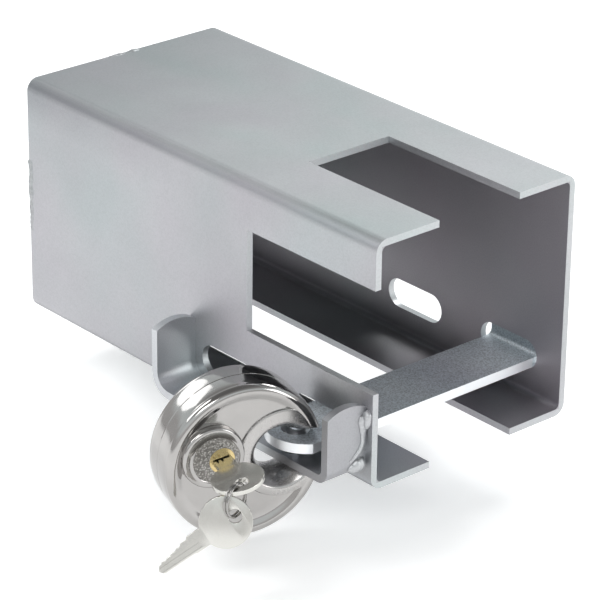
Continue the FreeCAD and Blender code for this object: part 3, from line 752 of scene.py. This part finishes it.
def key_outline():
    """The key's flat outline, its shoulder at the origin, blade along +Y, in mm."""
    neck_angle = math.asin(HALF_NECK / BOW_R)
    steps = 72
    line = []
    for i in range(steps + 1):
        a = math.pi / 2 + neck_angle + (2 * math.pi - 2 * neck_angle) * i / steps
        line.append((BOW_R * math.cos(a), -NECK - BOW_R + BOW_R * math.sin(a)))
    line += [(HALF_NECK, -0.4), (3.4, 0.0), (BLADE_TOP, 0.2)]
    height = BLADE_TOP
    for i, cut in enumerate(CUTS):
        step = FIRST_CUT + i * CUT_PITCH
        line += [(height, step - 0.35), (cut, step + 0.1), (cut, step + 1.1)]
        height = cut + 0.25 if i % 2 else cut
    line += [(height, BLADE_LEN - 1.4), (-1.6, BLADE_LEN), (-3.2, BLADE_LEN - 1.2),
             (BLADE_BACK, BLADE_LEN - 2.2), (BLADE_BACK, 0.3), (-HALF_NECK, -0.4)]
    return line


def flat_solid(name, outline, holes, thickness, bevel):
    """A plate with rounded edges, from a flat curve with holes."""
    curve = bpy.data.curves.new(name, "CURVE")
    curve.dimensions, curve.fill_mode = "2D", "BOTH"
    curve.extrude, curve.bevel_depth = (thickness / 2 - bevel) * MM, bevel * MM
    curve.offset = -bevel * MM
    curve.bevel_resolution = 2
    for line in [outline] + holes:
        spline = curve.splines.new("POLY")
        spline.points.add(len(line) - 1)
        for point, (x, y) in zip(spline.points, line):
            point.co = (x * MM, y * MM, 0, 1)
        spline.use_cyclic_u = True
    obj = bpy.data.objects.new(name, curve)
    bpy.context.collection.objects.link(obj)
    mesh = bpy.data.meshes.new_from_object(obj.evaluated_get(bpy.context.evaluated_depsgraph_get()))
    bpy.data.objects.remove(obj)
    work = bmesh.new()
    work.from_mesh(mesh)
    bmesh.ops.remove_doubles(work, verts=work.verts, dist=0.001 * MM)
    bmesh.ops.recalc_face_normals(work, faces=work.faces)
    work.to_mesh(mesh)
    work.free()
    return mesh


def block(x0, x1, y0, y1, z0, z1):
    """A plain cuboid to cut with."""
    points = [(x, y, z) for x in (x0, x1) for y in (y0, y1) for z in (z0, z1)]
    faces = [(0, 1, 3, 2), (4, 6, 7, 5), (0, 4, 5, 1), (2, 3, 7, 6), (0, 2, 6, 4), (1, 5, 7, 3)]
    return new_mesh("block", points, faces)


def key_mesh():
    """The key with its bow's hole and two grooves along each face of its blade."""
    hole = arc(0.0, -BOW_HOLE_FROM_SHOULDER, BOW_HOLE_R, 0, 350, 35)
    mesh = flat_solid("key", key_outline(), [hole], KEY_T, KEY_EDGE)
    for z in (GROOVE_OFF, -GROOVE_OFF - GROOVE_D):
        for x in GROOVES_X:
            groove = block(x, x + GROOVE_W, GROOVE_START, BLADE_LEN + 1, z, z + GROOVE_D)
            mesh = boolean(mesh, groove, "DIFFERENCE")
    return mesh


def key_matrix(hole, blade, facing):
    """Puts the bow's hole at a point, in metres, with the blade and the flat face in these directions."""
    across = blade.cross(facing)
    turn = Matrix((across, blade, facing)).transposed().to_4x4()
    return Matrix.Translation(hole) @ turn @ Matrix.Translation((0, BOW_HOLE_FROM_SHOULDER * MM, 0))


def split_ring(centre, axis, toward, material):
    """Two close turns of round wire that cross over in the middle. The wire starts and ends at toward."""
    side = axis.cross(toward)
    points = []
    steps, sides = 200, 14
    for i in range(steps + 1):
        share = i / steps
        a = 2 * math.pi * RING_TURNS * share
        ease = min(max((share - CROSS_START) / CROSS_LENGTH, 0), 1)
        slide = (ease * ease * (3 - 2 * ease) - 0.5) * (2 * RING_WIRE + RING_GAP)
        out = toward * math.cos(a) + side * math.sin(a)
        middle = centre / MM + out * RING_R + axis * slide
        for k in range(sides):
            b = 2 * math.pi * k / sides
            points.append(middle + (out * math.cos(b) + axis * math.sin(b) * WIRE_FLAT) * RING_WIRE)
    faces = grid_faces(steps + 1, sides, False, True)
    faces.append(list(range(sides)))
    faces.append([steps * sides + k for k in range(sides)][::-1])
    return finish_mesh("split_ring", new_mesh("split_ring", points, faces), material, 50)


def square_to(way, axis):
    """The part of a direction that is square to an axis, at length 1."""
    return (way - axis * way.dot(axis)).normalized()


def make_keys(materials):
    """The key in the plug, the spare key that hangs from the ring, and the ring between them."""
    turn, angle = padlock_matrix().to_3x3(), math.radians(KEYWAY_ANGLE)
    blade = turn @ Vector((0, 1, 0))
    across = turn @ Vector((math.cos(angle), 0, math.sin(angle)))
    hole = Vector(joints["ring_swing"]["pos_m"])
    place = key_matrix(hole, blade, across.cross(blade))
    first = finish_mesh("key_in_plug", key_mesh(), materials["nickel"], 30, place, True)
    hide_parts("key_in_lock")
    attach(first, "key")

    facing = Vector(SPARE_FACING).normalized()
    blade = square_to(Vector(SPARE_BLADE), facing)
    hang = Vector(joints["spare_key_swing"]["pos_m"]) + blade * SPARE_DROP * MM
    place = key_matrix(hang, blade, facing)
    second = finish_mesh("key_hanging", key_mesh(), materials["nickel"], 30, place, True)
    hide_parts("spare_key")
    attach(second, "spare")

    low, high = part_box("key_ring")
    centre, axis = (low + high) / 2, Vector(joints["ring_swing"]["axis"]).normalized()
    ring = split_ring(centre, axis, square_to(hole - centre, axis), materials["chrome"])
    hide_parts("key_ring")
    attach(ring, "ring")


# ---- the whole ----

CAD_MATERIALS = {
    "box_shell": "sheet", "end_plate": "sheet", "guard_bracket": "strap", "lock_bar": "bar",
    "front_core": "cast", "back_core": "cast", "cylinder_housing": "face", "driver_pins": "pin",
    "pin_springs": "spring", "chamber_caps": "pin", "shackle": "shackle", "shackle_carrier": "cast",
    "plug": "brass", "key_pins": "brass", "drive_cam": "cast", "cam_clip": "spring",
}
EDGE_ROUNDING = {"box_shell": 0.25, "guard_bracket": 0.35, "lock_bar": 0.45}

add_camera()
materials = {
    "sheet": zinc("zinc_sheet", (0.57, 0.585, 0.595), (0.52, 0.535, 0.545), 0.46, 1500, 0.000012, 0.2,
                  # Painted shade: the box's inner faces near the mouth, and its roof toward the closed
                  # corner, are darkened in colour.
                  ((painted_inside_shade, (0.76, 0.72, 0.745)), (painted_roof_shade, (0.74, 0.745, 0.755)),
                   # Painted shade: the box's upright faces, which look along Y, and its bends are darkened in
                   # colour.
                   (facing_shade(1), (0.86, 0.838, 0.86)), (painted_fold_shade, (0.60, 0.60, 0.61)))),
    "strap": zinc("zinc_strap", (0.645, 0.67, 0.685), (0.57, 0.59, 0.61), 0.42, 1700, 0.000010, 0.2,
                  ((toward_open_end("guard_bracket"), (0.69, 0.675, 0.68)),)),
    # Painted shade: the lock bar's faces that look along Y, chiefly its folded leg, are darkened in colour;
    # its cut edges are then painted lighter, as a painted highlight.
    "bar": zinc("zinc_bar", (0.91, 0.97, 1.0), (0.75, 0.81, 0.87), 0.52, 1300, 0.00009, 0.78,
                ((facing_shade(1), (0.52, 0.54, 0.56)),), edge_highlight=(0.95, 0.97, 0.99), metal=0.8),
    "weld": zinc("weld_metal", (0.59, 0.60, 0.61), (0.48, 0.49, 0.50), 0.42, 900, 0.000015, 0.25),
    "bead": zinc("plate_weld_metal", (0.50, 0.51, 0.52), (0.40, 0.41, 0.42), 0.52, 700, 0.00003, 0.4),
    "stainless": steel("polished_stainless", (0.45, 0.435, 0.425), (0.40, 0.387, 0.377), 0.10, 0.000004),
    "stainless_lip": steel("satin_stainless", (0.50, 0.485, 0.475), (0.45, 0.437, 0.427), 0.26, 0.000006),
    "cast": zinc("cast_core", (0.42, 0.42, 0.42), (0.34, 0.34, 0.34), 0.5, 1200, 0.00003),
    "face": dotted("cylinder_face", (0.50, 0.485, 0.46), (0.20, 0.19, 0.18)),
    "brass": steel("plug_brass", (0.70, 0.56, 0.29), (0.56, 0.43, 0.21), 0.24),
    "pin": steel("pin_steel", (0.7, 0.7, 0.7), (0.6, 0.6, 0.6), 0.25),
    "spring": steel("spring_steel", (0.5, 0.5, 0.52), (0.4, 0.4, 0.42), 0.3),
    "shackle": steel("shackle_steel", (0.72, 0.72, 0.73), (0.62, 0.62, 0.63), 0.14),
    "nickel": steel("key_nickel", (0.68, 0.667, 0.635), (0.61, 0.60, 0.565), 0.22, 0.000002, 1800),
    "chrome": steel("ring_chrome", (0.40, 0.39, 0.38), (0.33, 0.32, 0.31), 0.08, 0.000002),
}
add_stage()
for node, key in CAD_MATERIALS.items():
    paint(node, materials[key])
for node, width in EDGE_ROUNDING.items():
    soften(node, width * MM)
make_padlock(materials)
make_welds(materials)
make_keys(materials)
